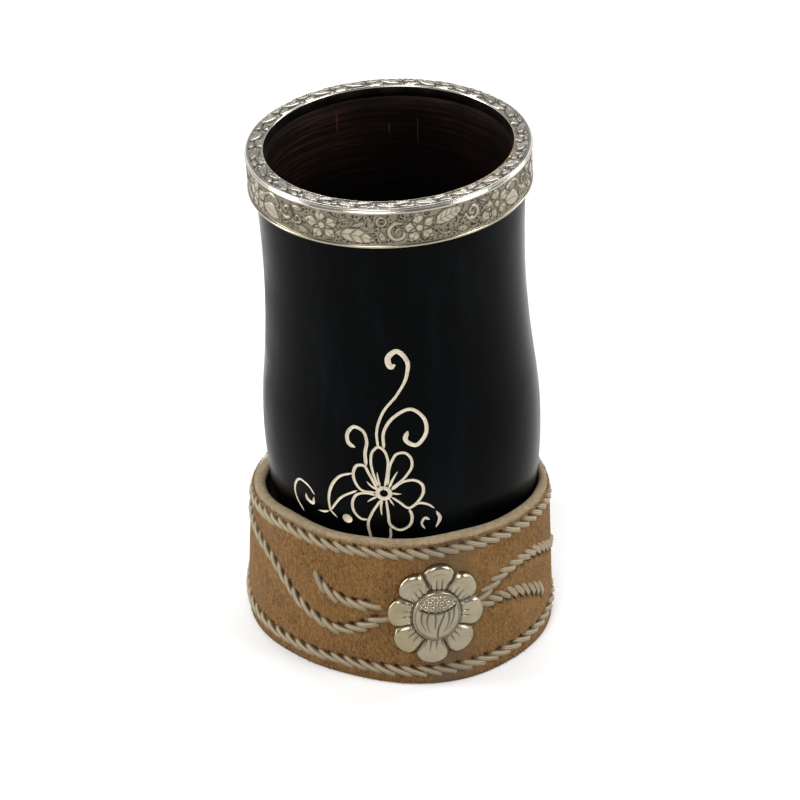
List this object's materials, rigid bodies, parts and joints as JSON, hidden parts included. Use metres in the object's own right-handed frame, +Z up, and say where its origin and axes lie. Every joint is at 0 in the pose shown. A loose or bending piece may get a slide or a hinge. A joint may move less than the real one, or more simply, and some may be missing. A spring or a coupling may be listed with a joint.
{
  "type": "mate cup",
  "caption": "Tall mate cup: a waisted dark horn tube with a chased metal mouth rim, standing in a laced hide band with a flower concho.",
  "frame": {"origin": "middle of the flat foot of the hide band", "axes": "+Z up out of the mouth, -Y towards the side that carries the flower concho"},
  "size_m": [0.0852, 0.0864, 0.1307],
  "materials": {
    "horn": "satin polished horn",
    "plug_wood": "dark, sealed",
    "rim_metal": "nickel silver, chased, darkened ground",
    "hide": "short hair left on, camel",
    "sole_leather": "raw flesh side",
    "rawhide": "dry, pale",
    "concho_metal": "nickel silver, stamped, slightly tarnished",
    "rivet_metal": "nickel silver, plain"
  },
  "bodies": {
    "root": {"horn_wall": "horn", "bottom_plug": "plug_wood", "mouth_rim": "rim_metal", "hide_band": "hide", "leather_sole": "sole_leather", "top_edge_lace": "rawhide", "bottom_edge_lace": "rawhide", "long_vine_lace": "rawhide", "short_vine_lace": "rawhide", "upper_branch_lace": "rawhide", "lower_branch_lace": "rawhide", "flower_concho": "concho_metal", "concho_rivet": "rivet_metal"}
  },
  "joints": []
}
